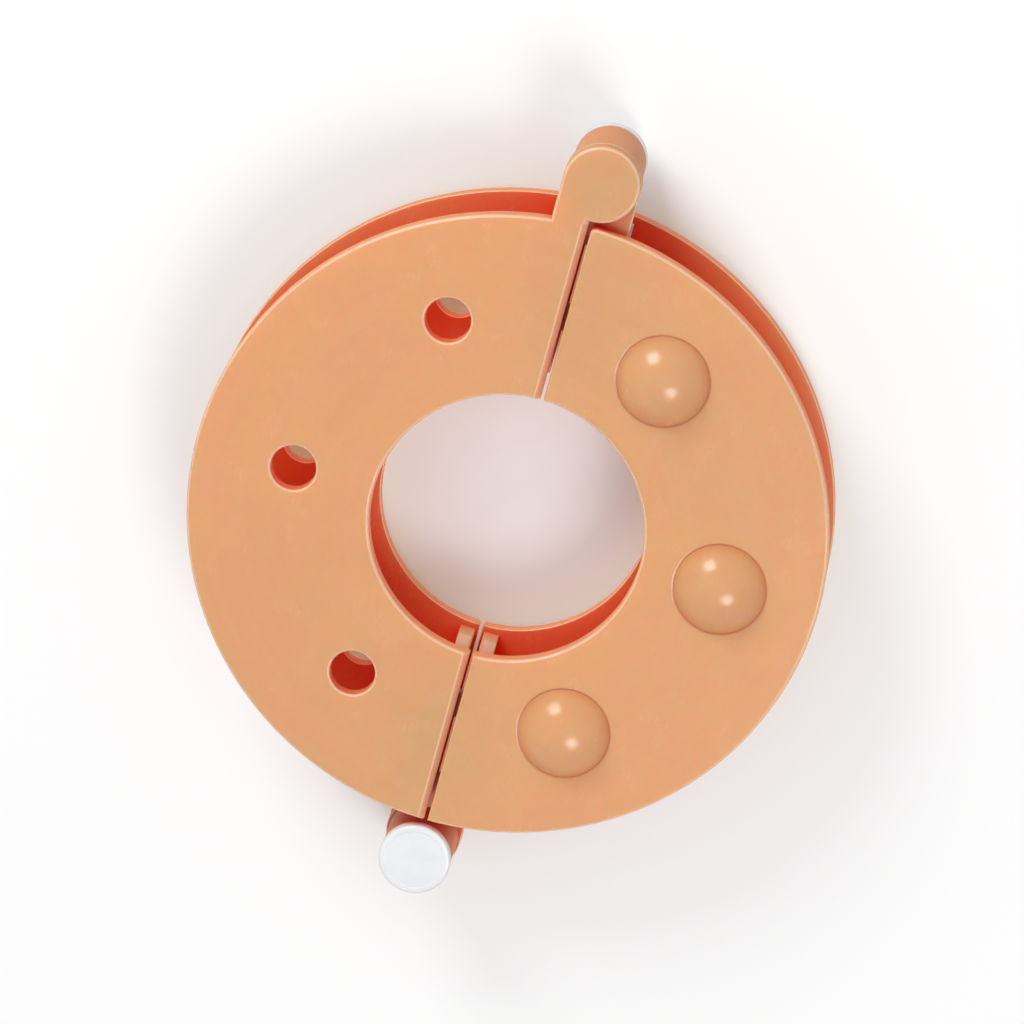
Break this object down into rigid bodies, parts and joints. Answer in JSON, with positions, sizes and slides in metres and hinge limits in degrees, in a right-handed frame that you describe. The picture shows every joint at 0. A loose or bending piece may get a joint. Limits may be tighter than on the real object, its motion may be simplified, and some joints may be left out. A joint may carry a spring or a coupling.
{
  "type": "pom-pom maker",
  "caption": "Pom-pom maker: two hinged split rings laid face to face, with round holes on one half, hollow domes on the other, round hinge tabs at opposite rims and a sliding clip at each free end.",
  "frame": {"origin": "centre of the core opening, midway between the two rings", "axes": "+Z out of the upper ring's outer face, along the core opening; +Y along the split line towards the upper ring's hinge; +X towards the arms with the domes"},
  "size_m": [0.07, 0.088, 0.0186],
  "materials": {
    "peach_plastic": "satin moulded peach plastic",
    "white_plastic": "glossy white plastic"
  },
  "bodies": {
    "lower_hole_arm": {"lower_hole_arm": "peach_plastic", "lower_pivot_plug": "white_plastic"},
    "lower_dome_arm": {"lower_dome_arm": "peach_plastic"},
    "lower_clip": {"lower_arm_clip": "white_plastic"},
    "upper_hole_arm": {"upper_hole_arm": "peach_plastic", "upper_pivot_plug": "white_plastic"},
    "upper_dome_arm": {"upper_dome_arm": "peach_plastic"},
    "upper_clip": {"upper_arm_clip": "white_plastic"}
  },
  "joints": [
    {"name": "lower_arm_swing", "type": "hinge", "parent": "lower_hole_arm", "child": "lower_dome_arm", "pos_m": [0, -0.0398, 0], "axis": [0, 0, -1], "range_deg": [0, 235]},
    {"name": "lower_clip_slide", "type": "slide", "parent": "lower_hole_arm", "child": "lower_clip", "axis": [0, -1, 0], "range_m": [0, 0.005]},
    {"name": "upper_ring_lift", "type": "slide", "parent": "lower_hole_arm", "child": "upper_hole_arm", "axis": [0, 0, 1], "range_m": [0, 0.015]},
    {"name": "upper_arm_swing", "type": "hinge", "parent": "upper_hole_arm", "child": "upper_dome_arm", "pos_m": [0, 0.0398, 0], "axis": [0, 0, 1], "range_deg": [0, 235]},
    {"name": "upper_clip_slide", "type": "slide", "parent": "upper_hole_arm", "child": "upper_clip", "axis": [0, 1, 0], "range_m": [0, 0.005]}
  ]
}
